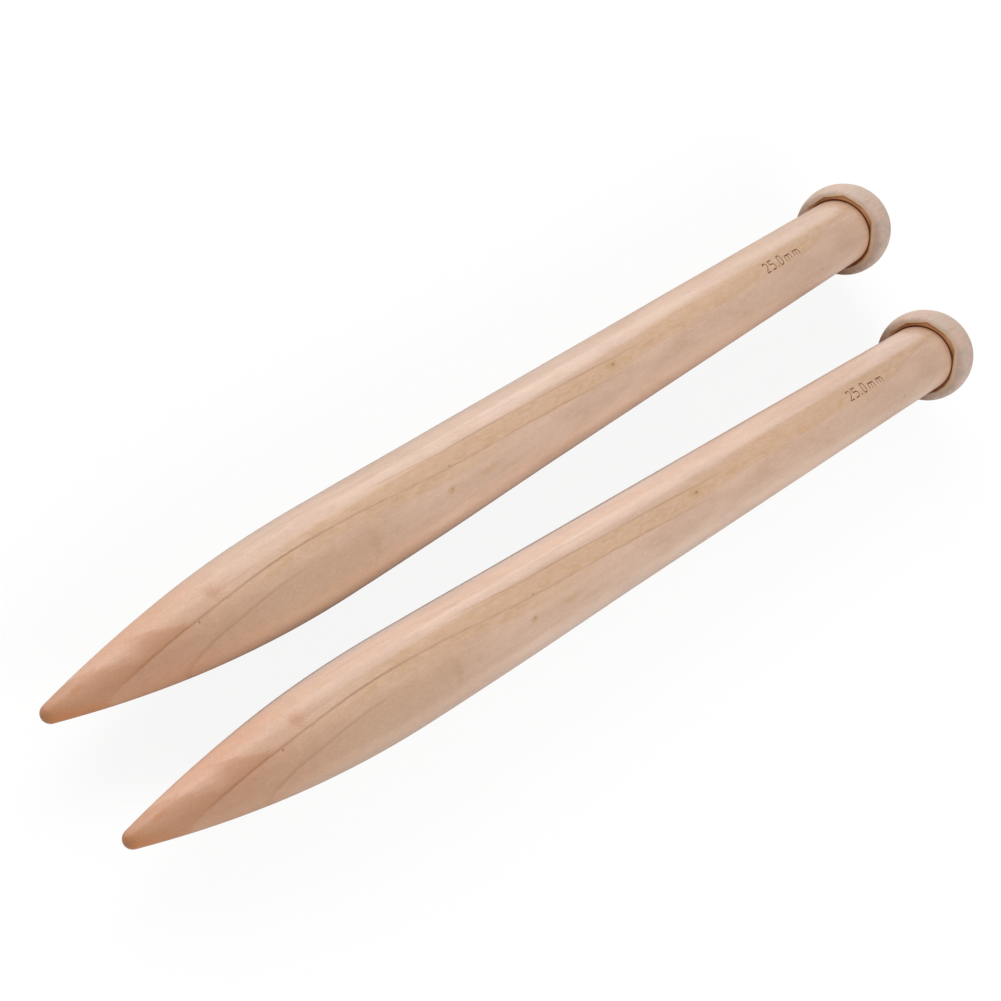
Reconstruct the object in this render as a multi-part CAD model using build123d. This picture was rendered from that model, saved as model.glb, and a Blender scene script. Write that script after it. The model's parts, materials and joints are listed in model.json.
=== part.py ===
from build123d import *
import os
from math import asin, atan2, cos, degrees, hypot, sqrt

# A pair of straight, single-pointed wooden knitting needles of 25 mm gauge, lying side by side.
#
# Each needle is a plain dowel with a long rounded tip, and a turned end cap that keeps the
# stitches on. The dowel's end is turned down a little and glued into the cap's socket.
# The glue stands in the socket's flared mouth as a narrow ring round the shaft.
#
# Millimetres. The needles lie on Z = 0 with their tips towards -X and their caps towards +X.
# Left is +Y and right is -Y, as seen by someone who looks from the tips towards the caps.
# Every piece is drawn in the needle's own frame: its axis is X, its tip points along -X,
# and the cap's centre is the origin.

# ---- Shaft
shaft_diameter = 25.0       # the gauge that the needle is sold by
overall_length = 400.9      # from the end of the tip to the far side of the cap
tip_length = 85.2           # from the end of the tip to where the full diameter starts
nose_radius = 2.5           # the blunt round end of the tip
seat_relief = 0.25          # the end in the socket is turned down by this much all round
seat_chamfer = 0.8          # eases the dowel's sawn end into the socket

# ---- End cap
cap_diameter = 34.5         # a turned ball, cut off square at its mouth
mouth_offset = 5.7          # from the ball's centre to the plane of the mouth
mouth_diameter = 28.4       # across the flared edge of the socket
flare_depth = 1.0           # how deep the flare goes into the socket
lip_radius = 2.4            # rounding between the ball and the face of the mouth
lip_width = 0.5             # the least that the face of the mouth may be wide
lip_share = 1.2             # the most that the rounding may be, as a share of the width of that face
socket_depth = 12.5         # from the plane of the mouth to the socket's flat floor

# ---- Glue
glue_gap = 0.25             # between the dowel's seat and the socket, all round and at the floor
glue_recess = 0.5           # how far the glue's ring stands back from the plane of the mouth

# ---- How the pair lies
cap_spacing = 56.25         # between the centres of the two caps
tip_spacing = 30.19         # between the ends of the two tips
stagger = 0.75              # how much further towards the caps the right needle lies

# ---- Worked out from the sizes above
shaft_radius = shaft_diameter / 2
seat_radius = shaft_radius - seat_relief
cap_radius = cap_diameter / 2
ball_at_mouth = sqrt(cap_radius**2 - mouth_offset**2)
mouth_radius = min(mouth_diameter / 2, ball_at_mouth - lip_width)
socket_radius = seat_radius + glue_gap

mouth_x = -mouth_offset
mouth_face_width = ball_at_mouth - mouth_radius
flare_x = mouth_x + flare_depth
ring_x = mouth_x + glue_recess
socket_floor_x = mouth_x + socket_depth
seat_end_x = socket_floor_x - glue_gap
tip_x = cap_radius - overall_length
shoulder_x = tip_x + tip_length

# The tip is one long arc, tangent to the dowel's side at the shoulder and to the nose's ball.
nose_to_shoulder = tip_length - nose_radius
ogive_radius = (nose_to_shoulder**2 + shaft_radius**2 - nose_radius**2) / (2 * (shaft_radius - nose_radius))
ogive_centre_drop = ogive_radius - shaft_radius
nose_share = ogive_radius / (ogive_radius - nose_radius)
nose_joint = (
    shoulder_x - nose_to_shoulder * nose_share,
    -ogive_centre_drop + ogive_centre_drop * nose_share,
)

# At rest a needle stands on its cap and on the shaft just past the shoulder, so its axis
# leans down towards the tip. The lean is where the cap's ball and the tip's arc share a floor.
shoulder_from_cap = -shoulder_x
lean = atan2(ogive_centre_drop, shoulder_from_cap) + asin(
    (cap_radius - ogive_radius) / hypot(ogive_centre_drop, shoulder_from_cap)
)
splay = asin((cap_spacing - tip_spacing) / 2 / (-tip_x * cos(lean)))


def turned_shaft() -> Part:
    """The dowel: blunt nose, long arc of the tip, full-diameter body, and the seat in the cap."""
    with BuildPart() as shaft:
        with BuildSketch(Plane.XZ) as half_section:
            with BuildLine():
                ogive = TangentArc((shoulder_x, shaft_radius), nose_joint, tangent=(-1, 0))
                TangentArc(nose_joint, (tip_x, 0), tangent=ogive % 1)
                Polyline(
                    (tip_x, 0),
                    (seat_end_x, 0),
                    (seat_end_x, seat_radius),
                    (ring_x, seat_radius),
                    (ring_x, shaft_radius),
                    (shoulder_x, shaft_radius),
                )
            make_face()
            seat_corner = half_section.vertices().group_by(Axis.X)[-1].sort_by(Axis.Y)[-1]
            chamfer(seat_corner, seat_chamfer)
        revolve(axis=Axis.X)
    return shaft.part


def turned_cap() -> Part:
    """The end cap: a ball cut off at its mouth, bored for the dowel, flared and rounded there."""
    with BuildPart() as cap:
        with BuildSketch(Plane.XZ) as half_section:
            with BuildLine():
                ball = CenterArc((0, 0), cap_radius, 0, 90 + degrees(asin(mouth_offset / cap_radius)))
                Polyline(
                    ball @ 1,
                    (mouth_x, mouth_radius),
                    (flare_x, socket_radius),
                    (socket_floor_x, socket_radius),
                    (socket_floor_x, 0),
                    ball @ 0,
                )
            make_face()
            lip_corner = half_section.vertices().group_by(Axis.X)[0].sort_by(Axis.Y)[-1]
            fillet(lip_corner, min(lip_radius, lip_share * mouth_face_width))
        revolve(axis=Axis.X)
    return cap.part


def glue_line(shaft: Part) -> Part:
    """The cured glue: a cup round the dowel's seat, which ends as a flat ring in the flare."""
    flare_slope = (mouth_radius - socket_radius) / flare_depth
    ring_radius = mouth_radius - glue_recess * flare_slope
    with BuildPart() as filling:
        with BuildSketch(Plane.XZ):
            with BuildLine():
                Polyline(
                    (ring_x, 0),
                    (ring_x, ring_radius),
                    (flare_x, socket_radius),
                    (socket_floor_x, socket_radius),
                    (socket_floor_x, 0),
                    close=True,
                )
            make_face()
        revolve(axis=Axis.X)
        add(shaft, mode=Mode.SUBTRACT)
    return filling.part


def needle_place(side: int) -> Location:
    """Where a needle lies before the pair is centred: side is +1 for the left, -1 for the right."""
    setback = 0 if side > 0 else stagger
    return Pos(setback, side * cap_spacing / 2, cap_radius) * Rot(Z=side * degrees(splay)) * Rot(Y=-degrees(lean))


shaft = turned_shaft()
needle_pieces = {"shaft": shaft, "end_cap": turned_cap(), "cap_glue": glue_line(shaft)}
nodes = {
    f"{name}_needle_{piece}": needle_place(side) * solid
    for name, side in (("left", 1), ("right", -1))
    for piece, solid in needle_pieces.items()
}

# The origin is under the middle of the pair, on the surface that the needles lie on.
pair_box = Compound(list(nodes.values())).bounding_box()
to_origin = Pos(-pair_box.center().X, -pair_box.center().Y, -pair_box.min.Z)

os.makedirs("parts", exist_ok=True)
for node, solid in nodes.items():
    export_step(to_origin * solid, f"parts/{node}.step")

print(f"pair {pair_box.size.X:.2f} x {pair_box.size.Y:.2f} x {pair_box.size.Z:.2f} mm")
print(f"tip arc radius {ogive_radius:.1f}, lean {degrees(lean):.3f} deg, splay {degrees(splay):.3f} deg")
for name, side in (("left", 1), ("right", -1)):
    axis_frame = to_origin * needle_place(side)
    cap_centre = axis_frame * Pos(0, 0, 0)
    shoulder = axis_frame * Pos(shoulder_x, 0, 0)
    print(name, "cap centre", cap_centre.position, "shoulder", shoulder.position)
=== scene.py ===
import json
import logging
import math
from collections.abc import Callable, Iterable
from dataclasses import dataclass, field
from enum import Enum

import bpy
from mathutils import Euler, Matrix, Vector


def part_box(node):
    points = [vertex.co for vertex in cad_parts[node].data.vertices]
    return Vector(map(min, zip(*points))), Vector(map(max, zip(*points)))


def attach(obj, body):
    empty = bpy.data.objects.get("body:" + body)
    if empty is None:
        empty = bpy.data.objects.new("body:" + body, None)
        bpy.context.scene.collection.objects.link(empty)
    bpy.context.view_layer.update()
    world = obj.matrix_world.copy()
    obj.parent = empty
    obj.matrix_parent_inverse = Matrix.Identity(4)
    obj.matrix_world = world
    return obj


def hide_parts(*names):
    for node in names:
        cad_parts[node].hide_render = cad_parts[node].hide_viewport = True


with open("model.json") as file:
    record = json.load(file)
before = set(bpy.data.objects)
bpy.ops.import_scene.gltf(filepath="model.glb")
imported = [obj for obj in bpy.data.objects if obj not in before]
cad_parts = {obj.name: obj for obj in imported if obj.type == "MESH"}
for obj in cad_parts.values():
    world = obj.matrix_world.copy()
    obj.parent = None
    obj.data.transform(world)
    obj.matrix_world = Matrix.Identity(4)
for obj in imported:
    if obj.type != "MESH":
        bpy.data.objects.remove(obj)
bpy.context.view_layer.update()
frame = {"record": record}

# A pair of straight wooden knitting needles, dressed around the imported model.
#
# Metres. The needles lie on Z = 0, tips towards -X and caps towards +X; left is +Y.
# Every piece is shaped once in the needle's own frame, where the axis is X, the tip points
# along -X, the cap's centre is the origin and Z is up, and is then copied into its place.
# Finishes are written in the same frame, in millimetres.

LOG = logging.getLogger("needles")
MM = 0.001
TO_MM = 1 / MM
WELD = 0.005 * MM       # points nearer to each other than this are made one
TOUCH = 0.01 * MM       # a point nearer to a plane than this lies on it

Colour = tuple[float, float, float]
Section = list[tuple[float, float]]

WHITE: Colour = (1.0, 1.0, 1.0)


class Side(Enum):
    """The two needles of the pair."""

    LEFT = "left"
    RIGHT = "right"

    def node(self, piece: str) -> str:
        """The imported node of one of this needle's pieces."""
        return f"{self.value}_needle_{piece}"

    @property
    def body(self) -> str:
        """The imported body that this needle's pieces ride on."""
        return f"{self.value}_needle"


class Slot(Enum):
    """The record's material slots."""

    SHAFT = "shaft_wood"
    CAP = "cap_wood"
    GLUE = "glue"


# ---------------------------------------------------------------- shader expressions


class Value:
    """A node socket that takes part in Python arithmetic, each operation being a Math node."""

    def __init__(self, shader: "Shader", socket: bpy.types.NodeSocket) -> None:
        """Wraps an output socket of one of a shader's nodes."""
        self.shader = shader
        self.socket = socket

    def _math(self, operation: str, first: "Number", second: "Number") -> "Value":
        """One Math node on two numbers."""
        inputs = {0: first, 1: second}
        return self.shader.node("ShaderNodeMath", {"operation": operation}, inputs)["Value"]

    def __add__(self, other: "Number") -> "Value":
        """self + other."""
        return self._math("ADD", self, other)

    __radd__ = __add__

    def __sub__(self, other: "Number") -> "Value":
        """self - other."""
        return self._math("SUBTRACT", self, other)

    def __rsub__(self, other: "Number") -> "Value":
        """other - self."""
        return self._math("SUBTRACT", other, self)

    def __mul__(self, other: "Number") -> "Value":
        """self * other."""
        return self._math("MULTIPLY", self, other)

    __rmul__ = __mul__

    def __pow__(self, other: "Number") -> "Value":
        """self ** other."""
        return self._math("POWER", self, other)

    def step(self, start: float, end: float) -> "Value":
        """A smooth step.

        Args:
            start: Where the result is 0.
            end: Where the result is 1, which may be below the start.

        Returns:
            0 before the start, 1 after the end.
        """
        low, high, first, last = (start, end, 0.0, 1.0) if start < end else (end, start, 1.0, 0.0)
        settings = {"interpolation_type": "SMOOTHSTEP"}
        inputs = {"Value": self, "From Min": low, "From Max": high, "To Min": first, "To Max": last}
        return self.shader.node("ShaderNodeMapRange", settings, inputs)["Result"]


Number = Value | float
Paint = Value | Colour
Coat = tuple[Number, Paint]     # how much of a colour is laid on, from 0 to 1, and the colour
Span = tuple[float, float]      # where something starts to show, and where it shows in full


@dataclass(frozen=True)
class Stretch:
    """Where something shows, along the needle or by any other value. Lowest value first."""

    start: float            # nothing shows below this
    full: float             # all of it shows from here
    fade: float             # to here
    end: float              # and nothing above this

    def at(self, value: Value) -> Value:
        """How much shows at a value, from 0 to 1."""
        return value.step(self.start, self.full) * value.step(self.end, self.fade)


@dataclass(frozen=True)
class Grain:
    """A noise pattern drawn out along the needle. Its scales are per millimetre."""

    along: float
    across: float
    detail: float = 3.0
    roughness: float = 0.5
    distortion: float = 0.0
    shift: float = 0.0      # keeps two patterns with the same scales apart


class Outputs:
    """The outputs of one node, by name."""

    def __init__(self, shader: "Shader", node: bpy.types.Node) -> None:
        """Wraps a node of a shader."""
        self.shader = shader
        self.node = node

    def __getitem__(self, name: str) -> Value:
        """The enabled output of that name."""
        return Value(self.shader, next(o for o in self.node.outputs if o.enabled and o.name == name))


class Shader:
    """Builds the node tree of a material, or of the world."""

    def __init__(self, owner: bpy.types.Material | bpy.types.World) -> None:
        """Starts an empty tree.

        Args:
            owner: The material or the world that the tree is for.
        """
        self.owner = owner
        owner.use_nodes = True
        self.tree = owner.node_tree
        self.tree.nodes.clear()

    def node(self, kind: str, settings: dict[str, object], inputs: dict[str | int, object]) -> Outputs:
        """Adds a node.

        Args:
            kind: The node's type.
            settings: Its properties, which are set first.
            inputs: A value or a link for each of its sockets, by name or number.

        Returns:
            The node's outputs.
        """
        made = self.tree.nodes.new(kind)
        for key, value in settings.items():
            setattr(made, key, value)
        for key, value in inputs.items():
            socket = made.inputs[key] if isinstance(key, int) else self._input(made, key)
            if isinstance(value, Value):
                self.tree.links.new(value.socket, socket)
            elif isinstance(value, tuple) and len(value) == 3 and socket.type == "RGBA":
                socket.default_value = (*value, 1.0)
            else:
                socket.default_value = value
        return Outputs(self, made)

    @staticmethod
    def _input(node: bpy.types.Node, name: str) -> bpy.types.NodeSocket:
        """The enabled input of that name."""
        return next(i for i in node.inputs if i.enabled and i.name == name)

    def own_place(self, place: Matrix) -> tuple[Value, Value, Value]:
        """Points in the needle's own frame, in millimetres.

        Args:
            place: Where the needle lies.

        Returns:
            The point's X, Y and Z.
        """
        turn = place.to_3x3().inverted()
        inputs = {
            "Vector": self.node("ShaderNodeTexCoord", {}, {})["Object"],
            "Location": -(turn @ place.translation) * TO_MM,
            "Rotation": turn.to_euler(),
            "Scale": (TO_MM,) * 3,
        }
        point = self.node("ShaderNodeMapping", {"vector_type": "POINT"}, inputs)["Vector"]
        parts = self.node("ShaderNodeSeparateXYZ", {}, {"Vector": point})
        return parts["X"], parts["Y"], parts["Z"]

    def join(self, x: Number, y: Number, z: Number) -> Value:
        """A vector from its three parts."""
        return self.node("ShaderNodeCombineXYZ", {}, {"X": x, "Y": y, "Z": z})["Vector"]

    def attribute(self, name: str) -> Value:
        """A number that each point of the piece carries."""
        return self.node("ShaderNodeAttribute", {"attribute_name": name}, {})["Fac"]

    def distance(self, vector: Value, place: tuple[float, float, float]) -> Value:
        """How far a point is from a place."""
        inputs = {0: vector, 1: place}
        return self.node("ShaderNodeVectorMath", {"operation": "DISTANCE"}, inputs)["Value"]

    def grain(self, point: tuple[Number, Number, Number], grain: Grain) -> Value:
        """A grain's noise at a point.

        Args:
            point: The point's X, Y and Z.
            grain: The pattern.

        Returns:
            A number between 0 and 1, about one half.
        """
        x, y, z = point
        inputs = {
            "Vector": self.join(x * grain.along + grain.shift, y * grain.across, z * grain.across),
            "Scale": 1.0,
            "Detail": grain.detail,
            "Roughness": grain.roughness,
            "Distortion": grain.distortion,
        }
        return self.node("ShaderNodeTexNoise", {}, inputs)["Fac"]

    def mix(self, share: Number, first: Paint, second: Paint, blend: str = "MIX") -> Value:
        """Blends two colours.

        Args:
            share: How much of the second, from 0 to 1.
            first: The first colour.
            second: The second colour.
            blend: How the second is laid on the first.

        Returns:
            The blended colour.
        """
        settings = {"data_type": "RGBA", "blend_type": blend}
        inputs = {"Factor": share, "A": first, "B": second}
        return self.node("ShaderNodeMix", settings, inputs)["Result"]

    def painted(self, ground: Paint, coats: Iterable[Coat]) -> Paint:
        """Lays coats of colour on a ground, one after another.

        Args:
            ground: The colour under them.
            coats: The coats, lowest first.

        Returns:
            The colour on top.
        """
        for share, colour in coats:
            ground = self.mix(share, ground, colour)
        return ground

    def tint(self, colour: Paint, gain: Value) -> Value:
        """A colour made lighter or darker by a factor."""
        return self.mix(1.0, colour, self.join(gain, gain, gain), "MULTIPLY")

    def bump(self, height: Value, distance: float, strength: float = 1.0) -> Value:
        """A surface normal tilted by a height."""
        inputs = {"Height": height, "Distance": distance, "Strength": strength}
        return self.node("ShaderNodeBump", {}, inputs)["Normal"]

    def seen_by_camera(self) -> Value:
        """1 for what the camera sees, 0 for what only gives or takes light."""
        return self.node("ShaderNodeLightPath", {}, {})["Is Camera Ray"]

    def for_camera(self, share: float, plain: Value, seen: Value) -> Value:
        """A look that differs for the camera.

        Args:
            share: How much of the second look the camera sees.
            plain: The first look, which gives and takes the light.
            seen: The second look.

        Returns:
            The shader that has both.
        """
        inputs = {0: self.seen_by_camera() * share, 1: plain, 2: seen}
        return self.node("ShaderNodeMixShader", {}, inputs)["Shader"]

    def finish(self, kind: str, surface: Value) -> None:
        """Links a shader to a new output node of the given type."""
        self.node(kind, {}, {"Surface": surface})

    def surface(self, inputs: dict[str | int, object]) -> bpy.types.Material:
        """Finishes the material with a principled surface."""
        self.finish("ShaderNodeOutputMaterial", self.node("ShaderNodeBsdfPrincipled", {}, inputs)["BSDF"])
        return self.owner


def srgb(red: int, green: int, blue: int) -> Colour:
    """A colour from its display values.

    Args:
        red: Its red, from 0 to 255.
        green: Its green.
        blue: Its blue.

    Returns:
        The colour in linear light.
    """
    def linear(value: int) -> float:
        """One channel."""
        share = value / 255
        return share / 12.92 if share <= 0.04045 else ((share + 0.055) / 1.055) ** 2.4

    return linear(red), linear(green), linear(blue)


# ---------------------------------------------------------------- finishes


@dataclass(frozen=True)
class Fleck:
    """A small knot, speck or stained patch in the wood of a shaft."""

    x: float                # along the needle, from the cap's centre
    angle: float            # round the needle from its top, towards +Y, in degrees
    size: float             # across the grain
    stretch: float          # how many times longer it is along the grain
    colour: Colour
    depth: float            # how strongly it colours the wood, from 0 to 1
    core: float = 0.35      # how much of it has the full colour


@dataclass(frozen=True)
class GrowthLine:
    """A thin dark line where the shaft cuts through the end of one year's growth."""

    layer: float            # how many layers below the first
    start: float            # it shows along the needle from here
    end: float              # to here
    strength: float         # how dark it is, from 0 to 1
    sets_in: float = 12.0   # the length over which it comes in
    fades: float = 35.0     # and goes out
    soft_side: float = 0.13     # it darkens slowly over part of a layer
    core: float = 0.02          # is dark for this much of it
    sharp_side: float = 0.045   # and ends sharply

    def across(self) -> Stretch:
        """The layers it takes up."""
        end = self.layer + self.sharp_side
        return Stretch(self.layer - self.soft_side, self.layer - self.core, self.layer, end)

    def along(self) -> Stretch:
        """The part of the needle it takes up."""
        return Stretch(self.start, self.start + self.sets_in, self.end - self.fades, self.end)


@dataclass(frozen=True)
class WoodPatterns:
    """What the patterns in one shaft's wood come to at a point."""

    shader: Shader
    x: Value            # the point, in the needle's own frame
    y: Value
    z: Value
    wander: Value       # slow noises
    cloud: Value
    blotch: Value
    mottle: Value       # short noises
    flush: Value
    grit: Value
    fibre: Value        # long narrow streaks
    hair: Value
    pore: Value
    layer: Value        # how many growth layers below the first
    near_tip: Value     # 1 in the tip, 0 in the body


@dataclass(frozen=True)
class ShaftWood:
    """Fine pale hardwood, sanded and sealed with a thin clear coat. Millimetres."""

    pale: Colour = srgb(209, 176, 153)
    shade: Colour = srgb(199, 164, 140)
    tan: Colour = srgb(202, 165, 131)
    amber: Colour = srgb(195, 153, 114)
    olive: Colour = srgb(187, 150, 122)
    pink: Colour = srgb(211, 173, 155)
    late: Colour = srgb(138, 92, 52)
    # the tip's two colours: lighter towards +Y and darker towards -Y, as painted light and shade
    tip_lit_side: Colour = srgb(208, 165, 139)
    tip_shaded_side: Colour = srgb(181, 137, 108)
    stain: Colour = srgb(172, 118, 80)
    blush: Colour = srgb(214, 160, 130)
    nose: Colour = srgb(174, 112, 66)
    cap_side_tint: Colour = srgb(212, 164, 130)
    burnt: Colour = srgb(110, 54, 18)
    wander: Grain = Grain(0.05, 0.22)
    cloud: Grain = Grain(0.03, 0.16, 3.0, 0.55, 0.3)
    blotch: Grain = Grain(0.09, 0.5, 3.0, 0.6, 0.6, 3.0)
    mottle: Grain = Grain(0.3, 0.6, 3.0, 0.65, 0.4, 9.0)
    flush: Grain = Grain(0.3, 0.7, 2.0, 0.6, 0.4, 21.0)
    grit: Grain = Grain(1.3, 2.0, 4.0, 0.75)
    fibre: Grain = Grain(0.045, 2.4, 4.0, 0.62)
    hair: Grain = Grain(0.3, 5.0, 3.0, 0.65)
    pores: Grain = Grain(0.5, 7.0, 1.0)
    bands: Grain = Grain(4.0, 0.006, 3.0, 0.6)      # from layer to layer, and along the needle
    layer_spacing: float = 4.7      # between growth layers
    first_layer: float = 2.34       # a layer's distance from the axis, where it comes nearest
    layer_turn: float = -64.0       # which way the layers face, in degrees from the top towards +Y
    bow_x: float = -316.7           # where the layers come nearest the axis
    bow_size: float = 20.0
    bow_power: float = 0.375
    bow_gain: float = 0.165
    hump_x: float = -259.0          # where they swell round an old branch
    hump_width: float = 34.0
    hump_gain: float = 0.8
    lines: tuple[GrowthLine, ...] = (
        GrowthLine(0.0, -372.0, -290.0, 0.55),
        GrowthLine(0.0, -328.0, -165.0, 0.3),
        GrowthLine(1.0, -360.0, -300.0, 0.34),
        GrowthLine(-1.0, -290.0, -150.0, 0.38),
        GrowthLine(-0.45, -345.0, -300.0, 0.12),
        GrowthLine(-1.7, -330.0, -200.0, 0.16),
    )
    flecks: tuple[Fleck, ...] = (
        Fleck(-180.2, 7.0, 1.4, 3.4, srgb(188, 150, 104), 0.65, 0.2),
        Fleck(-179.2, 5.5, 0.45, 2.6, srgb(124, 90, 60), 0.65),
        Fleck(-45.1, -41.5, 0.55, 1.0, srgb(150, 92, 76), 0.8),
        Fleck(-261.8, -21.5, 1.3, 1.8, srgb(190, 146, 92), 0.55, 0.1),
        Fleck(-261.4, -20.8, 0.4, 1.6, srgb(140, 100, 58), 0.55),
        Fleck(-246.5, -24.5, 1.5, 5.0, srgb(190, 148, 104), 0.5, 0.1),
        Fleck(-292.5, -28.0, 5.5, 0.45, srgb(184, 148, 114), 0.5, 0.1),
        Fleck(-345.7, 0.6, 0.34, 1.0, srgb(110, 82, 62), 0.9),
        Fleck(-258.6, 4.5, 0.4, 2.2, srgb(150, 112, 78), 0.55),
        Fleck(-338.4, 27.0, 3.2, 1.1, srgb(188, 140, 108), 0.6, 0.2),
        Fleck(-376.0, 22.0, 1.0, 3.0, srgb(186, 120, 76), 0.5, 0.2),
    )
    # Where the colours run, along the needle.
    tan_start: Span = (-340.0, -295.0)
    tan_spill: Stretch = Stretch(-348.0, -312.0, -262.0, -222.0)    # the tan crosses its layer here
    tan_dip: Stretch = Stretch(-250.0, -205.0, -180.0, -130.0)      # and its upper edge dips here
    streak_start: Span = (-206.0, -180.0)       # the tan is a straight streak from here
    streak_climb: Span = (-190.7, -130.7)       # whose lower edge climbs a little here
    streak_close: Span = (-62.7, -10.7)         # and closes it here
    streak_edge: Stretch = Stretch(-66.0, -50.0, -20.0, -10.0)      # with a dark line here
    streak_low: float = -1.2                    # how far towards +Y that lower edge starts
    climb_height: float = 0.6
    close_height: float = 5.4
    tan_top: Span = (6.6, 5.2)                  # how far towards +Y the tan reaches
    dip_depth: float = 1.8
    low_olive: Span = (-258.0, -312.0)
    tip_start: Span = (-318.0, -362.0)
    short_stain_x: float = -345.2               # a stain's slanting edge meets the first layer here
    short_stain_slant: float = 0.11             # and climbs this many layers in each millimetre
    short_stain_end: Span = (-364.0, -357.0)
    long_stain_x: float = -357.0
    long_stain_slant: float = 0.1
    blush_start: Span = (-332.0, -352.0)
    nose_start: Span = (-375.0, -384.0)
    cap_side_tint_start: Span = (-9.0, -5.5)
    cap_end_shade: Span = (-150.0, -40.0)             # painted shade: the wood is a little darker towards the cap
    worn: Span = (-225.0, -100.0)               # and its coat is duller
    more_worn: Span = (-100.0, -40.0)
    mark: Stretch = Stretch(-88.0, -87.0, -53.0, -52.0)
    mark_burnt: Span = (0.05, 0.11)             # how deep in a groove of the size mark it is brown
    # The shape of the shaft, which the flecks and the mark lie on.
    shaft_radius: float = 12.5
    shoulder_x: float = -298.5      # where the tip starts
    tip_length: float = 85.2
    tip_arc_radius: float = 349.5
    tip_drift: float = 1.1          # how far the end of the tip lies towards +Y

    def material(self, name: str, place: Matrix) -> bpy.types.Material:
        """The wood of one shaft.

        Args:
            name: The material's name.
            place: Where the needle lies.

        Returns:
            The material.
        """
        shader = Shader(bpy.data.materials.new(name))
        w = self._patterns(shader, shader.own_place(place))
        coats = self._years(w) + self._tip(w) + self._lines(w) + self._flecks(w) + self._ends(w)
        gain = 1.0 + (w.fibre - 0.5) * 0.12 + (w.hair - 0.5) * 0.14 + (w.grit - 0.5) * 0.34
        # The last term is painted shade towards the cap.
        gain = gain + (w.mottle - 0.5) * 0.2 - w.pore * 0.05 - w.x.step(*self.cap_end_shade) * 0.075
        burn = self._burn(w)
        wood = shader.tint(shader.painted(self.pale, coats), gain)
        wood = shader.mix(burn * (0.92 + (w.grit - 0.5) * 0.6), wood, self.burnt)
        height = w.fibre * 0.4 + w.hair * 0.3 + w.grit * 0.5 - w.pore * 0.5
        by_cap = w.x.step(*self.worn) * 0.5 + w.x.step(*self.more_worn) * 0.1
        dull = w.near_tip * 0.7 + by_cap - (w.mottle - 0.5) * 0.3
        return shader.surface({
            "Base Color": wood,
            "Roughness": 0.44 + (w.fibre - 0.5) * 0.2 + burn * 0.3,
            "IOR": 1.45,
            "Coat Weight": (1.0 - burn * 0.95) * (0.9 - dull),
            "Coat Roughness": 0.12,
            "Coat IOR": 1.5,
            "Normal": shader.bump(height, 0.00002, 0.6),
        })

    def _patterns(self, shader: Shader, point: tuple[Value, Value, Value]) -> WoodPatterns:
        """Works out the patterns.

        Args:
            shader: The shaft's shader.
            point: The point's X, Y and Z.

        Returns:
            What they come to.
        """
        x, y, z = point
        wander, cloud, blotch = (shader.grain(point, g) for g in (self.wander, self.cloud, self.blotch))
        towards_tip = x + (cloud - 0.5) * 26.0 + (blotch - 0.5) * 16.0

        # Growth layers: curved sheets that the round shaft cuts through at a slant.
        turn = math.radians(self.layer_turn)
        across = y * math.sin(turn) + z * math.cos(turn)
        bow_start = self.bow_size ** (2 * self.bow_power)
        bow = ((x - self.bow_x) ** 2.0 + self.bow_size**2) ** self.bow_power - bow_start
        from_hump = (x - self.hump_x) * (1.0 / self.hump_width)
        hump = (from_hump * from_hump + 1.0) ** -2.0 * self.hump_gain
        inwards = across - bow * self.bow_gain - hump - self.first_layer + (wander - 0.5) * 0.5
        return WoodPatterns(
            shader, x, y, z, wander, cloud, blotch,
            mottle=shader.grain(point, self.mottle),
            flush=shader.grain(point, self.flush),
            grit=shader.grain(point, self.grit),
            fibre=shader.grain(point, self.fibre),
            hair=shader.grain(point, self.hair),
            pore=shader.grain(point, self.pores).step(0.62, 0.74),
            layer=inwards * (1.0 / self.layer_spacing),
            near_tip=towards_tip.step(*self.tip_start),
        )

    def _years(self, w: WoodPatterns) -> list[Coat]:
        """The pale wood's shades, and the tan year between two layers.

        The tan starts between two layers at the tip's end, and goes on as a straight streak along
        the top, whose lower edge climbs and closes it just short of the cap.

        Args:
            w: The wood's patterns.

        Returns:
            The coats, lowest first.
        """
        dip = self.tan_dip.at(w.x) * self.dip_depth
        under_top = (w.y + (w.blotch - 0.5) * 1.2 + dip).step(*self.tan_top)
        by_layer = Stretch(-1.04, -0.96, -0.02, 0.02).at(w.layer) * w.x.step(*self.tan_start)
        climb = w.x.step(*self.streak_climb) * self.climb_height
        climb = climb + w.x.step(*self.streak_close) * self.close_height
        above_edge = w.y - (climb + self.streak_low) + (w.wander - 0.5) * 0.7
        onwards = w.x.step(*self.streak_start)
        tan_year = (by_layer * (1.0 - onwards) + above_edge.step(-0.3, 0.3) * onwards) * under_top
        spilt = (w.layer + (w.blotch - 0.5) * 0.2).step(0.62, 0.4) * w.layer.step(0.0, 0.02)
        tan_year = tan_year + spilt * self.tan_spill.at(w.x) * 0.85
        bands = w.shader.grain((w.layer, w.x, 0.0), self.bands)
        low_side = (w.y + (w.cloud - 0.5) * 8.0).step(2.5, -4.0) * w.x.step(*self.low_olive)
        edge_line = Stretch(-0.6, -0.02, 0.0, 0.25).at(above_edge) * self.streak_edge.at(w.x)
        return [
            (w.cloud.step(0.38, 0.66), self.shade),
            (tan_year * (0.75 + (bands - 0.5) * 0.6), self.tan),
            (tan_year * w.blotch.step(0.46, 0.66) * 0.6, self.amber),
            ((bands - 0.38) * 0.5, self.shade),
            (w.flush.step(0.48, 0.68) * 0.4, self.pink),
            (low_side * 0.75, self.olive),
            (edge_line * w.mottle * 0.3, self.late),
        ]

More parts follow.
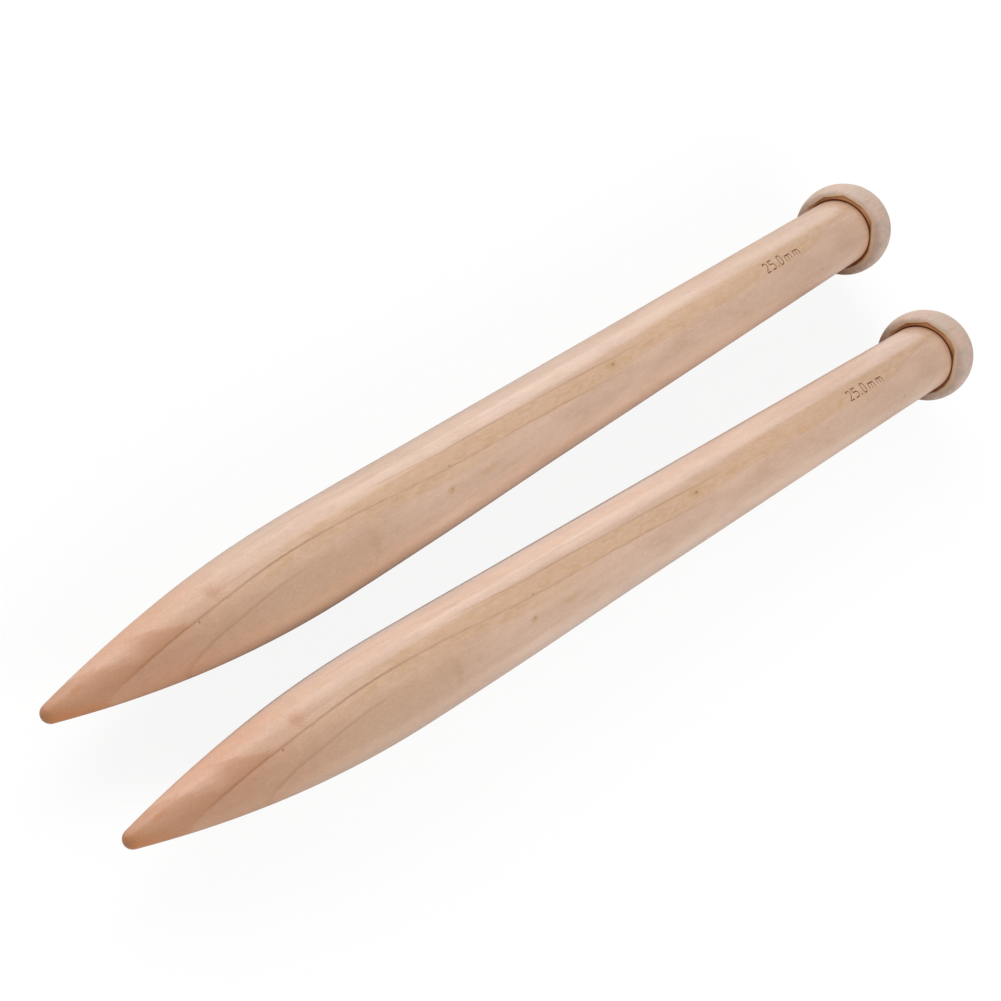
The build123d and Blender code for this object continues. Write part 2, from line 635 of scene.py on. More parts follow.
    def _tip(self, w: WoodPatterns) -> list[Coat]:
        """The tip, darker below and lighter above as painted shade and light, with brown stains over the
        first layer.

        Args:
            w: The wood's patterns.

        Returns:
            The coats, lowest first.
        """
        # The tip is darker than the body, partly its own end-grain colour and partly painted shade, and
        # lighter towards +Y and darker towards -Y as painted light and shade.
        tip = w.shader.mix((w.y + (w.cloud - 0.5) * 6.0).step(-2.0, 5.5), self.tip_shaded_side, self.tip_lit_side)
        above = w.layer * -1.0
        over_layer = above.step(-0.03, 0.03) * (0.55 + w.mottle * 0.9)
        ragged_edge = above - (w.blotch - 0.5) * 0.7 - (w.mottle - 0.5) * 0.4
        short_edge = (self.short_stain_x - w.x) * self.short_stain_slant - ragged_edge
        long_edge = (self.long_stain_x - w.x) * self.long_stain_slant - ragged_edge
        short_stain = short_edge.step(-0.05, 0.3) * w.x.step(*self.short_stain_end)
        blush = (w.y + (w.blotch - 0.5) * 6.0).step(3.5, 8.5) * w.x.step(*self.blush_start)
        return [
            (w.near_tip * 0.85, tip),
            (over_layer * short_stain * 0.45, self.stain),
            (over_layer * long_edge.step(-0.05, 0.35) * 0.42, self.stain),
            (blush * w.fibre.step(0.4, 0.6) * 0.5, self.blush),
        ]

    def _lines(self, w: WoodPatterns) -> list[Coat]:
        """The thin dark lines between the years, faint in places.

        Args:
            w: The wood's patterns.

        Returns:
            The coats, lowest first.
        """
        shaky = w.layer + (w.mottle - 0.5) * 0.07 + (w.hair - 0.5) * 0.05
        faint = (w.wander + w.mottle) * 1.1 - 0.35 + (w.hair - 0.5) * 0.8
        coats = []
        for line in self.lines:
            shown = line.across().at(shaky) * line.along().at(w.x)
            coats.append((shown * faint * line.strength, self.late))
        return coats

    def _flecks(self, w: WoodPatterns) -> list[Coat]:
        """The knots, specks and patches.

        Args:
            w: The wood's patterns.

        Returns:
            The coats, lowest first.
        """
        coats = []
        for fleck in self.flecks:
            squeezed = w.shader.join(w.x * (1.0 / fleck.stretch), w.y, w.z)
            ragged = w.shader.distance(squeezed, self._place(fleck)) + (w.grit - 0.5) * fleck.size * 0.8
            coats.append((ragged.step(fleck.size, fleck.size * fleck.core) * fleck.depth, fleck.colour))
        return coats

    def _place(self, fleck: Fleck) -> tuple[float, float, float]:
        """A fleck's place on the shaft.

        Args:
            fleck: The fleck.

        Returns:
            Its X, squeezed along the grain, and its Y and Z.
        """
        into_tip = max(self.shoulder_x - fleck.x, 0.0)
        radius = self.shaft_radius - into_tip**2 / (2 * self.tip_arc_radius)
        turn = math.radians(fleck.angle)
        drift = self.tip_drift * (into_tip / self.tip_length) ** 2
        return fleck.x / fleck.stretch, radius * math.sin(turn) + drift, radius * math.cos(turn)

    def _ends(self, w: WoodPatterns) -> list[Coat]:
        """The brown nose, and a darker orange tint on the shaft beside the cap.

        Args:
            w: The wood's patterns.

        Returns:
            The coats, lowest first.
        """
        at_nose = (w.x + (w.blotch - 0.5) * 6.0 + w.y * 1.7).step(*self.nose_start)
        near_cap_tint = (w.x + (w.blotch - 0.5) * 3.0).step(*self.cap_side_tint_start)
        return [(at_nose * 0.85, self.nose), (near_cap_tint * 0.4, self.cap_side_tint)]

    def _burn(self, w: WoodPatterns) -> Value:
        """Where the size mark is burnt in, so that its sunk floor and walls are brown.

        Args:
            w: The wood's patterns.

        Returns:
            1 in the mark's grooves, 0 elsewhere.
        """
        sunk = self.shaft_radius - (w.y * w.y + w.z * w.z) ** 0.5
        return sunk.step(*self.mark_burnt) * self.mark.at(w.x)


@dataclass(frozen=True)
class CapWood:
    """The turned cap: the same wood sanded and left nearly matt, greyer. Millimetres."""

    pale: Colour = srgb(198, 176, 160)
    peach: Colour = srgb(201, 170, 155)
    # greyer and darker towards -Y, partly the wood's own tone and partly painted shade
    grey_and_shade: Colour = srgb(182, 165, 153)
    olive: Colour = srgb(168, 140, 114)
    # painted shade on the underside of the ball
    low: Colour = srgb(148, 114, 88)
    # the mouth's pale edge, partly the sanded edge and partly a painted highlight
    rim_and_highlight: Colour = srgb(217, 187, 148)
    # the flare on the -Y side, darker there as painted shade
    amber: Colour = srgb(174, 128, 88)
    # the flare on the lit +Y side, paler there as painted light
    flare_lit_side: Colour = srgb(232, 182, 142)
    # browner: painted shade under the mouth, and a brown band in the flare
    brown_and_shade: Colour = srgb(158, 102, 58)
    # painted shade deep in the flare
    dark: Colour = srgb(112, 54, 18)
    cloud: Grain = Grain(0.1, 0.1, 3.0, 0.55, 0.6)
    patch: Grain = Grain(0.16, 0.22, 3.0, 0.6, 0.8, 7.0)
    streak: Grain = Grain(0.12, 0.75, 4.0, 0.65, 0.5)
    fibre: Grain = Grain(0.5, 2.2, 3.0, 0.65)
    grit: Grain = Grain(2.6, 2.6, 3.0, 0.7)
    # How far from the mouth's edge, by the cap's "from_mouth".
    # the pale edge, partly the sanded edge and partly a painted highlight
    pale_edge: Stretch = Stretch(-0.3, -0.08, 0.14, 0.46)
    # a brown band in the flare
    brown_band: Stretch = Stretch(-0.5, -0.3, -0.12, -0.02)
    flare_amber: Span = (-0.05, -0.26)       # the flare is amber from here
    shaded_depth: Span = (-0.2, -0.55)          # painted shade: the flare is dark where it is this deep
    under_mouth_shade: Span = (1.2, 0.2)         # painted shade: underneath, the wood is browner towards the mouth

    def material(self, name: str, place: Matrix) -> bpy.types.Material:
        """The wood of one cap.

        Args:
            name: The material's name.
            place: Where the needle lies.

        Returns:
            The material.
        """
        shader = Shader(bpy.data.materials.new(name))
        point = shader.own_place(place)
        _, y, z = point
        from_mouth = shader.attribute("from_mouth")
        grains = (self.cloud, self.patch, self.streak, self.fibre, self.grit)
        cloud, patch, streak, fibre, grit = (shader.grain(point, g) for g in grains)

        # Painted shade: darker and browner on the underside.
        low = (z + (patch - 0.5) * 8.0).step(-2.0, -13.0)
        wood = shader.painted(self.pale, [
            # Greyer towards -Y, partly painted shade.
            ((y + (cloud - 0.5) * 16.0).step(5.0, -9.0), self.grey_and_shade),
            (patch.step(0.44, 0.6) * 0.75, self.peach),
            (streak.step(0.46, 0.66) * 0.45, self.olive),
            (low * 0.75, self.low),
            (low * from_mouth.step(*self.under_mouth_shade) * 0.5, self.brown_and_shade),
        ])
        gain = 1.0 + (streak - 0.5) * 0.3 + (fibre - 0.5) * 0.34 + (grit - 0.5) * 0.55

        # The flare is amber, paler on the lit +Y side and darker on the -Y side: painted light and shade.
        # The mouth's edge is paler on top, partly the sanded edge and partly a painted highlight, and
        # the flare has a brown band towards +Y and the top.
        edge = from_mouth + (fibre - 0.5) * 0.16
        # Painted highlight: the pale edge shows only on top.
        top = (z + (cloud - 0.5) * 8.0).step(-9.0, 5.0)
        lit_side = (y + (cloud - 0.5) * 5.0).step(-10.0, 9.0)
        brown_band_side = (y * 0.8 + z * 0.6 + (streak - 0.5) * 4.0).step(9.0, 12.0)
        # Painted shade: the flare darkens deeper in, less on the lit +Y side and more underneath.
        sunk = edge + lit_side * 0.4 - z.step(5.0, -5.0) * 0.26
        wood = shader.painted(shader.tint(wood, gain), [
            (self.pale_edge.at(edge) * top * 0.8, self.rim_and_highlight),
            (edge.step(*self.flare_amber) * 0.95, shader.mix(lit_side, self.amber, self.flare_lit_side)),
            (self.brown_band.at(edge) * brown_band_side * 0.8, self.brown_and_shade),
            (sunk.step(*self.shaded_depth) * 0.9, self.dark),
        ])
        return shader.surface({
            "Base Color": wood,
            "Roughness": 0.6 + (fibre - 0.5) * 0.2,
            "IOR": 1.42,
            "Coat Weight": 0.08,
            "Coat Roughness": 0.35,
            "Normal": shader.bump(streak * 0.5 + fibre * 0.5 + grit * 0.4, 0.00005, 0.8),
        })


@dataclass(frozen=True)
class CuredGlue:
    """Amber-brown wood glue, dark where it sinks between the shaft and the cap, partly its own colour and
    partly painted shade. Millimetres.
    """

    amber: Colour = srgb(192, 138, 94)
    dark: Colour = srgb(110, 52, 16)
    lumps: Grain = Grain(0.9, 0.9, 3.0, 0.6)
    groove_end: Span = (12.98, 13.12)   # how far from the axis the dark gives way to the amber
    shade_far_side: float = 0.6               # how much wider the painted shade is on the -Y side

    def material(self, name: str, place: Matrix) -> bpy.types.Material:
        """The glue of one needle.

        Args:
            name: The material's name.
            place: Where the needle lies.

        Returns:
            The material.
        """
        shader = Shader(bpy.data.materials.new(name))
        point = shader.own_place(place)
        _, y, z = point
        lumps = shader.grain(point, self.lumps)
        outward = (y * y + z * z) ** 0.5 + (lumps - 0.5) * 0.25
        outward = outward - (y + z * 0.35).step(5.0, -6.0) * self.shade_far_side
        light = outward.step(*self.groove_end)
        return shader.surface({
            "Base Color": shader.mix(light, self.dark, self.amber),
            "Roughness": 0.45 + (lumps - 0.5) * 0.3,
            "Coat Weight": 0.1,
            "Coat Roughness": 0.3,
            "Normal": shader.bump(lumps, 0.00008),
        })


# ---------------------------------------------------------------- modelling by hand


def select_only(piece: bpy.types.Object) -> None:
    """Makes one object the selected and active one.

    Args:
        piece: The object.
    """
    bpy.ops.object.select_all(action="DESELECT")
    piece.select_set(True)
    bpy.context.view_layer.objects.active = piece


def deselect_mesh() -> None:
    """Leaves edit mode with nothing in the mesh selected."""
    bpy.ops.mesh.select_all(action="DESELECT")
    bpy.ops.object.mode_set(mode="OBJECT")


def weld(piece: bpy.types.Object) -> None:
    """Makes a piece's doubled points one, and turns its faces outwards.

    Args:
        piece: The piece.
    """
    select_only(piece)
    bpy.ops.object.mode_set(mode="EDIT")
    bpy.ops.mesh.select_all(action="SELECT")
    bpy.ops.mesh.remove_doubles(threshold=WELD)
    bpy.ops.mesh.normals_make_consistent(inside=False)
    deselect_mesh()


def apply_all(piece: bpy.types.Object) -> None:
    """Applies every modifier of a piece, first to last.

    Args:
        piece: The piece.
    """
    select_only(piece)
    for modifier in list(piece.modifiers):
        bpy.ops.object.modifier_apply(modifier=modifier.name)


def draw_line(name: str, points: Iterable[tuple[float, float, float]]) -> bpy.types.Object:
    """Draws a line of edges through points, and leaves it selected in edit mode.

    Args:
        name: The new piece's name.
        points: The points, in order.

    Returns:
        The line, as a mesh.
    """
    bpy.ops.object.select_all(action="DESELECT")
    bpy.ops.mesh.primitive_plane_add(size=MM, location=(0.0, 0.0, 0.0))
    piece = bpy.context.object
    piece.name = piece.data.name = name
    bpy.ops.object.mode_set(mode="EDIT")
    bpy.ops.mesh.merge(type="CENTER")
    last = Vector((0.0, 0.0, 0.0))
    for number, point in enumerate(points):
        move = {"value": Vector(point) - last}
        if number:
            bpy.ops.mesh.extrude_region_move(TRANSFORM_OT_translate=move)
        else:
            bpy.ops.transform.translate(**move)
        last = Vector(point)
    bpy.ops.mesh.select_all(action="SELECT")
    return piece


def turn_on_lathe(name: str, section: Section, steps: int) -> bpy.types.Object:
    """Turns a half-section about X.

    Args:
        name: The new piece's name.
        section: Places along the axis and radii, in order.
        steps: How many faces go round.

    Returns:
        The turned piece, closed, with its faces pointing outwards.
    """
    piece = draw_line(name, [(x, 0.0, radius) for x, radius in section])
    bpy.ops.mesh.spin(steps=steps, angle=math.tau, center=(0, 0, 0), axis=(1, 0, 0))
    bpy.ops.object.mode_set(mode="OBJECT")
    weld(piece)
    return piece


def move_points(piece: bpy.types.Object, move: Callable[[Vector], Vector]) -> None:
    """Pushes the points of a mesh by hand.

    Args:
        piece: The piece.
        move: Gives each point's new place.
    """
    for vertex in piece.data.vertices:
        vertex.co = move(vertex.co)
    piece.data.update()


def smooth(piece: bpy.types.Object, degrees: float) -> None:
    """Shades a piece smooth, but for edges sharper than the angle."""
    select_only(piece)
    bpy.ops.object.shade_smooth_by_angle(angle=math.radians(degrees))


def unevenness(piece: bpy.types.Object, size: float, depth: float) -> None:
    """Gives a turned surface the slight waves that sanding by hand leaves.

    Args:
        piece: The piece.
        size: About how long the waves are.
        depth: How high they are at most.
    """
    waves = bpy.data.textures.new(f"{piece.name}_waves", "CLOUDS")
    waves.noise_scale = size
    modifier = piece.modifiers.new("waves", "DISPLACE")
    modifier.texture = waves
    modifier.texture_coords = "LOCAL"
    modifier.mid_level = 0.5
    modifier.strength = depth
    apply_all(piece)


def arc(centre: tuple[float, float], radius: float, start: float, end: float, count: int) -> Section:
    """Points on an arc of a half-section.

    Args:
        centre: The arc's centre, as place along the axis and distance from it.
        radius: Its radius.
        start: Its first angle from the axis, in radians.
        end: Its last angle.
        count: How many stretches it has.

    Returns:
        The points, both ends included.
    """
    x, y = centre
    angles = [start + (end - start) * number / count for number in range(count + 1)]
    return [(x + radius * math.cos(a), max(y + radius * math.sin(a), 0.0)) for a in angles]


def clamp(share: float) -> float:
    """A share kept between 0 and 1."""
    return min(max(share, 0.0), 1.0)


def ease(share: float) -> float:
    """A share from 0 to 1, made to start and end gently."""
    return share * share * (3 - 2 * share)


@dataclass(frozen=True)
class NeedleSizes:
    """The sizes that a needle's pieces share, in metres, in its own frame."""

    cap_radius: float
    shaft_radius: float
    overall_length: float = 400.9 * MM  # from the end of the tip to the far side of the cap
    tip_length: float = 85.2 * MM
    nose_radius: float = 2.25 * MM
    seat_radius: float = 12.25 * MM     # of the turned-down end of the shaft
    seat_end: float = 6.55 * MM         # where the shaft ends in the socket
    seat_chamfer: float = 0.8 * MM
    mouth_x: float = -5.7 * MM
    mouth_radius: float = 14.2 * MM
    flare_depth: float = 1.0 * MM
    lip_rounding: float = 2.4 * MM      # between the mouth's face and the ball
    socket_radius: float = 12.5 * MM
    socket_floor: float = 6.8 * MM
    glue_recess: float = 0.5 * MM       # how far in from the mouth the glue stands
    mouth_askew: float = 5.0            # degrees that the mouth is from square, nearer the tip at +Y
    flare_askew: float = 2.2            # and degrees that the deep end of its flare is

    @property
    def tip_x(self) -> float:
        """The end of the tip."""
        return self.cap_radius - self.overall_length

    @property
    def shoulder_x(self) -> float:
        """Where the taper of the tip starts."""
        return self.tip_x + self.tip_length

    @property
    def ring_x(self) -> float:
        """Where the glue's ring stands round the shaft."""
        return self.mouth_x + self.glue_recess

    @property
    def flare_end(self) -> float:
        """Where the flare meets the socket's wall."""
        return self.mouth_x + self.flare_depth

    def flare_radius(self, depth: float) -> float:
        """The flare's radius at a depth from the mouth."""
        return self.mouth_radius - (self.mouth_radius - self.socket_radius) * depth / self.flare_depth

    def askew(self, point: Vector, share: float) -> float:
        """How far along X the mouth lies from its square plane.

        Args:
            point: A point round it.
            share: 0 at the deep end of the flare, 1 at the mouth's edge.

        Returns:
            The shift.
        """
        degrees = self.flare_askew + (self.mouth_askew - self.flare_askew) * share
        return -point.y * math.tan(math.radians(degrees))

    def tilted(self, point: Vector, chosen: bool) -> Vector:
        """A point of the shaft or the glue, moved with the askew mouth if it is chosen."""
        return point + Vector((self.askew(point, 0.5) * chosen, 0.0, 0.0))


# The strokes of the size mark "25.0mm", in millimetres from where it starts on its base line.
SIZE_MARK = (
    ((0.0, 2.75), (0.45, 3.3), (1.2, 3.45), (2.1, 3.4), (2.6, 2.9), (2.55, 2.1), (1.9, 1.3), (0.5, 0.4)),
    ((0.1, 0.0), (2.7, 0.0)),
    ((6.7, 3.45), (4.2, 3.45), (4.2, 2.0), (6.1, 2.0), (6.85, 1.5), (6.85, 0.55), (6.2, 0.0), (4.2, 0.0)),
    ((8.2, 0.08), (8.55, 0.08), (8.9, 0.08)),
    ((10.3, 0.6), (10.8, 0.0), (12.0, 0.0), (12.6, 0.6), (12.6, 2.85), (12.0, 3.45), (10.8, 3.45),
     (10.3, 2.85), (10.3, 0.6)),
    ((14.9, 0.0), (14.9, 2.05), (18.2, 2.05), (18.7, 1.6), (18.7, 0.0)),
    ((16.8, 0.0), (16.8, 1.82)),
    ((20.9, 0.0), (20.9, 2.05), (24.2, 2.05), (24.7, 1.6), (24.7, 0.0)),
    ((22.8, 0.0), (22.8, 1.82)),
)


@dataclass(frozen=True)
class Swell:
    """A place where a shaft's side bulges a little. Metres."""

    x: float                # along the needle
    height: float           # how far the side moves along Y
    reach: float            # how far along the needle it fades out

    def shift(self, point: Vector, shaft_radius: float) -> float:
        """How far a point of the shaft goes along Y.

        Args:
            point: The point.
            shaft_radius: The shaft's radius.

        Returns:
            The shift, which is 0 on the side that faces away.
        """
        near = max(1.0 - abs(point.x - self.x) / self.reach, 0.0)
        facing = max(point.y * math.copysign(1.0, self.height), 0.0) / shaft_radius
        return self.height * ease(near) * facing


@dataclass(frozen=True)
class Shaft:
    """The needle's dowel with its long rounded tip, its seat in the cap and its size mark."""

    sizes: NeedleSizes
    round_steps: int = 192
    body_rows: int = 60
    tip_rows: int = 56
    nose_rows: int = 10
    tip_drift: float = 1.1 * MM         # the end of the tip lies this far off the axis, towards +Y
    swells: tuple[Swell, ...] = (
        Swell(-263 * MM, -0.26 * MM, 60 * MM),
        Swell(-336 * MM, 0.15 * MM, 30 * MM),
    )
    wave_size: float = 30 * MM
    wave_depth: float = 0.1 * MM
    mark_start: float = -81.8 * MM
    mark_turn: float = 0.6              # where its base line runs, in degrees from the top
    mark_width: float = 0.42 * MM
    mark_depth: float = 0.26 * MM
    longest_stretch: float = 0.6        # of a stroke that bends round the shaft, in millimetres
    sharp_angle: float = 25.0           # edges sharper than this many degrees show as edges

    def section(self) -> Section:
        """The half-section.

        Returns:
            Its points, from the end of the tip to the middle of the sawn end.
        """
        s = self.sizes
        run = s.tip_length - s.nose_radius
        rise = s.shaft_radius - s.nose_radius
        arc_radius = (run**2 + s.shaft_radius**2 - s.nose_radius**2) / (2 * rise)
        drop = arc_radius - s.shaft_radius
        nose_centre = s.tip_x + s.nose_radius
        lean = math.atan2(drop, run)
        nose = arc((nose_centre, 0.0), s.nose_radius, math.pi, math.pi - lean, self.nose_rows)
        taper = arc((s.shoulder_x, -drop), arc_radius, math.pi - lean, math.pi / 2, self.tip_rows)
        step = (s.ring_x - s.shoulder_x) / self.body_rows
        body = [(s.shoulder_x + step * (row + 1), s.shaft_radius) for row in range(self.body_rows)]
        seat = [
            (s.ring_x, s.seat_radius),
            (s.seat_end - s.seat_chamfer, s.seat_radius),
            (s.seat_end, s.seat_radius - s.seat_chamfer),
            (s.seat_end, 0.0),
        ]
        return nose + taper[1:] + body + seat

    def build(self) -> bpy.types.Object:
        """Turns, bends and marks the shaft.

        Returns:
            The shaft, in the needle's own frame.
        """
        shaft = turn_on_lathe("shaft", self.section(), self.round_steps)
        s = self.sizes
        move_points(shaft, lambda p: s.tilted(p, abs(p.x - s.ring_x) < TOUCH))
        self._bend_tip(shaft)
        move_points(shaft, self._swollen)
        unevenness(shaft, self.wave_size, self.wave_depth)
        self._engrave(shaft)
        smooth(shaft, self.sharp_angle)
        return shaft

    def _bend_tip(self, shaft: bpy.types.Object) -> None:
        """Drags the end of the tip sideways, and the rest of the tip less and less.

        Args:
            shaft: The plain turned shaft.
        """
        select_only(shaft)
        for vertex in shaft.data.vertices:
            vertex.select = vertex.co.x < self.sizes.tip_x + TOUCH
        bpy.ops.object.mode_set(mode="EDIT")
        bpy.ops.mesh.select_mode(type="VERT")
        bpy.ops.transform.translate(
            value=(0.0, self.tip_drift, 0.0),
            use_proportional_edit=True,
            use_proportional_connected=False,
            proportional_edit_falloff="SHARP",
            proportional_size=self.sizes.tip_length,
        )
        deselect_mesh()

    def _swollen(self, point: Vector) -> Vector:
        """Where a point goes with the swells of its side."""
        out = sum(swell.shift(point, self.sizes.shaft_radius) for swell in self.swells)
        return point + Vector((0.0, out, 0.0))

    def _engrave(self, shaft: bpy.types.Object) -> None:
        """Cuts the size mark into the top of the shaft, as round grooves.

        Args:
            shaft: The shaft.
        """
        strokes = [self._stroke(points) for points in SIZE_MARK]
        select_only(strokes[0])
        for stroke in strokes:
            stroke.select_set(True)
        bpy.ops.object.join()
        mark = strokes[0]
        move_points(mark, self._wrapped)
        cutter = shaft.modifiers.new("mark", "BOOLEAN")
        cutter.operation = "DIFFERENCE"
        cutter.solver = "EXACT"
        cutter.use_self = True
        cutter.object = mark
        apply_all(shaft)
        bpy.data.objects.remove(mark)

    def _wrapped(self, point: Vector) -> Vector:
        """Lays a flat point of the mark round the shaft.

        Args:
            point: The point, with Y across the mark and Z up from the middle of its strokes.

        Returns:
            Its new place.
        """
        angle = math.radians(self.mark_turn) + point.y / self.sizes.shaft_radius
        radius = self.sizes.shaft_radius - self.mark_depth + self.mark_width / 2 + point.z
        return Vector((self.mark_start + point.x, radius * math.sin(angle), radius * math.cos(angle)))

    def _stroke(self, points: tuple[tuple[float, float], ...]) -> bpy.types.Object:
        """Makes one stroke of the mark, in short stretches that can be bent.

        Args:
            points: The stroke's corners, in millimetres.

        Returns:
            The stroke, as a round bar on the flat.
        """
        line = [(points[0][0] * MM, points[0][1] * MM, 0.0)]
        for (x_a, y_a), (x_b, y_b) in zip(points, points[1:]):
            stretches = math.ceil(math.hypot(x_b - x_a, y_b - y_a) / self.longest_stretch)
            for number in range(1, stretches + 1):
                share = number / stretches
                line.append(((x_a + (x_b - x_a) * share) * MM, (y_a + (y_b - y_a) * share) * MM, 0.0))
        stroke = draw_line("stroke", line)
        bpy.ops.mesh.remove_doubles(threshold=TOUCH)
        deselect_mesh()
        select_only(stroke)
        bpy.ops.object.convert(target="CURVE")
        stroke.data.bevel_depth = self.mark_width / 2
        stroke.data.bevel_resolution = 1
        stroke.data.use_fill_caps = True
        bpy.ops.object.convert(target="MESH")
        weld(stroke)
        return stroke


@dataclass(frozen=True)
class EndCap:
    """The turned ball that keeps the stitches on, with its flared mouth pared by hand."""

    sizes: NeedleSizes
    round_steps: int = 180
    ball_rows: int = 64
    lip_rows: int = 12
    flare_rows: tuple[float, ...] = (0.3, 0.55, 0.8, 1.0)   # as shares of the flare's depth
    edge_width: float = 0.08 * MM       # the mouth's sharp edge is broken by this much of its face
    edge_depth: float = 0.05 * MM       # and by this much of its flare
    # The ball has dried a little oval: wider along one way across the axis, and narrower elsewhere.
    oval: float = 0.048
    oval_turn: float = -52.0            # that way, in degrees from the top towards +Y
    shrink: float = 0.022
    # The mouth's edge is pared to short flats: where they meet, in degrees from the top
    # towards +Y, and how many millimetres wider than the mouth's plain radius the edge is there.
    corners: tuple[tuple[float, float], ...] = (
        (-165, -0.2), (-130, -0.2), (-112, -0.2), (-96, -0.15), (-80, -0.18), (-65, -0.4), (-50, -0.95),
        (-33, -0.8), (-17, 0.5), (-3, 0.72), (11, 0.58), (29, 0.42), (42, 0.95), (72, 0.14), (102, 0.05),
        (140, 0.0), (168, -0.1),
    )
    askew_end: float = 4 * MM           # by here the ball no longer leans with the mouth
    colour_reach: float = 10 * MM       # past the lip, "from_mouth" grows by 1 in this length
    middle: float = 1 * MM              # points this near to the axis aren't pared
    wave_size: float = 14 * MM
    wave_depth: float = 0.2 * MM
    sharp_angle: float = 25.0           # edges sharper than this many degrees show as edges

    def section(self) -> Section:
        """The half-section.

        Returns:
            Its points, from the far side of the ball, round the mouth, to the middle of the socket.
        """
        s = self.sizes
        start_x, start_radius = self._lip_start()
        lip_centre = (s.mouth_x + s.lip_rounding, self._face_start())
        ball_end = math.pi - math.atan2(start_radius, -start_x)
        ball = arc((0.0, 0.0), s.cap_radius, 0.0, ball_end, self.ball_rows)
        lip = arc(lip_centre, s.lip_rounding, ball_end, math.pi, self.lip_rows)
        edge = [(s.mouth_x, s.mouth_radius + self.edge_width), (s.mouth_x + self.edge_depth, s.mouth_radius)]
        depths = [s.flare_depth * share for share in self.flare_rows]
        flare = [(s.mouth_x + depth, s.flare_radius(depth)) for depth in depths]
        socket = [(s.socket_floor, s.socket_radius), (s.socket_floor, 0.0)]
        return ball + lip[1:] + edge + flare + socket

    def build(self) -> bpy.types.Object:
        """Turns the cap and pares its mouth.

        Returns:
            The cap, in the needle's own frame.
        """
        cap = turn_on_lathe("end_cap", self.section(), self.round_steps)
        places = cap.data.attributes.new("from_mouth", "FLOAT", "POINT")
        for vertex, place in zip(cap.data.vertices, places.data):
            place.value = self._from_mouth(vertex.co)
        move_points(cap, self.pared)
        unevenness(cap, self.wave_size, self.wave_depth)
        smooth(cap, self.sharp_angle)
        return cap

    def _face_start(self) -> float:
        """The radius at which the lip's rounding meets the face of the mouth."""
        s = self.sizes
        return math.sqrt((s.cap_radius - s.lip_rounding) ** 2 - (s.mouth_x + s.lip_rounding) ** 2)

    def _lip_start(self) -> tuple[float, float]:
        """Where the lip's rounding leaves the ball.

        Returns:
            Its place along the axis and its radius.
        """
        s = self.sizes
        stretch = s.cap_radius / (s.cap_radius - s.lip_rounding)
        return (s.mouth_x + s.lip_rounding) * stretch, self._face_start() * stretch

    def _in_mouth(self, point: Vector) -> bool:
        """Whether a point of the plain cap is on the mouth's edge or within it."""
        return point.length < math.hypot(self.sizes.mouth_x + 2 * TOUCH, self.sizes.mouth_radius)

    def _up_face(self, radius: float) -> float:
        """How far a radius is on the way from the mouth's edge, 0, to the ball, 1."""
        _, start_radius = self._lip_start()
        return (radius - self.sizes.mouth_radius) / (start_radius - self.sizes.mouth_radius)

    def _from_mouth(self, point: Vector) -> float:
        """How far a point is from the mouth's edge, which the cap's finish goes by.

        Args:
            point: A point of the plain cap.

        Returns:
            -1 at the flare's deep end, 0 at the mouth's edge, 1 where the ball starts, and more on it.
        """
        s = self.sizes
        start_x, _ = self._lip_start()
        if self._in_mouth(point):
            return max((s.mouth_x - point.x) / s.flare_depth, -1.0)
        if point.x < start_x:
            return self._up_face(math.hypot(point.y, point.z))
        return 1.0 + (point.x - start_x) / self.colour_reach

    def widening(self, angle: float) -> float:
        """How much wider the pared mouth is at an angle.

        Args:
            angle: From the top towards +Y, in degrees, from -180 to 180.

        Returns:
            The difference from the mouth's plain radius.
        """
        radius = self.sizes.mouth_radius
        ring = [(turn, radius + wider * MM) for turn, wider in self.corners]
        ring = [(ring[-1][0] - 360, ring[-1][1])] + ring + [(ring[0][0] + 360, ring[0][1])]
        for (turn_a, radius_a), (turn_b, radius_b) in zip(ring, ring[1:]):
            if turn_a <= angle <= turn_b:
                a, b, t = (math.radians(value) for value in (turn_a, turn_b, angle))
                across = radius_a * math.sin(t - a) + radius_b * math.sin(b - t)
                return radius_a * radius_b * math.sin(b - a) / across - radius
        return 0.0

    def pared(self, point: Vector) -> Vector:
        """Moves a point of the plain turned cap, or of the glue in it, to its place on the pared one.

        Args:
            point: The point.

        Returns:
            Its new place.
        """
        s = self.sizes
        radius = math.hypot(point.y, point.z)
        if radius < self.middle:
            return self._dried(point, 1.0 if point.x > s.socket_floor + self.middle else 0.0)
        along = s.askew(point, 1.0)
        wider = self.widening(math.degrees(math.atan2(point.y, point.z)))
        start_x, start_radius = self._lip_start()
        if self._in_mouth(point):
            share = clamp((s.flare_end - point.x) / s.flare_depth)
            along = s.askew(point, share) * (point.x < s.flare_end + TOUCH)
            new_radius, on_ball = radius + wider * share, 0.0
        elif point.x < start_x - TOUCH:
            on_ball = self._up_face(radius)
            ball_radius = math.sqrt(s.cap_radius**2 - (start_x + along * start_radius / radius) ** 2)
            edge_radius = s.mouth_radius + wider
            new_radius = edge_radius + (ball_radius - edge_radius) * on_ball
        else:
            along *= ease(clamp((self.askew_end - point.x) / (self.askew_end - start_x)))
            new_radius = math.sqrt(max(s.cap_radius**2 - (point.x + along) ** 2, 0.0))
            on_ball = 1.0
        scale = new_radius / radius
        return self._dried(Vector((point.x + along, point.y * scale, point.z * scale)), on_ball)

    def _dried(self, point: Vector, share: float) -> Vector:
        """Moves a point of the true ball to its place on the oval one.

        Args:
            point: The point.
            share: How much of the way it goes, from 0 to 1.

        Returns:
            Its new place.
        """
        turn = math.radians(self.oval_turn)
        wide = Vector((0.0, math.sin(turn), math.cos(turn)))
        return point + (wide * (self.oval * point.dot(wide)) - point * self.shrink) * share


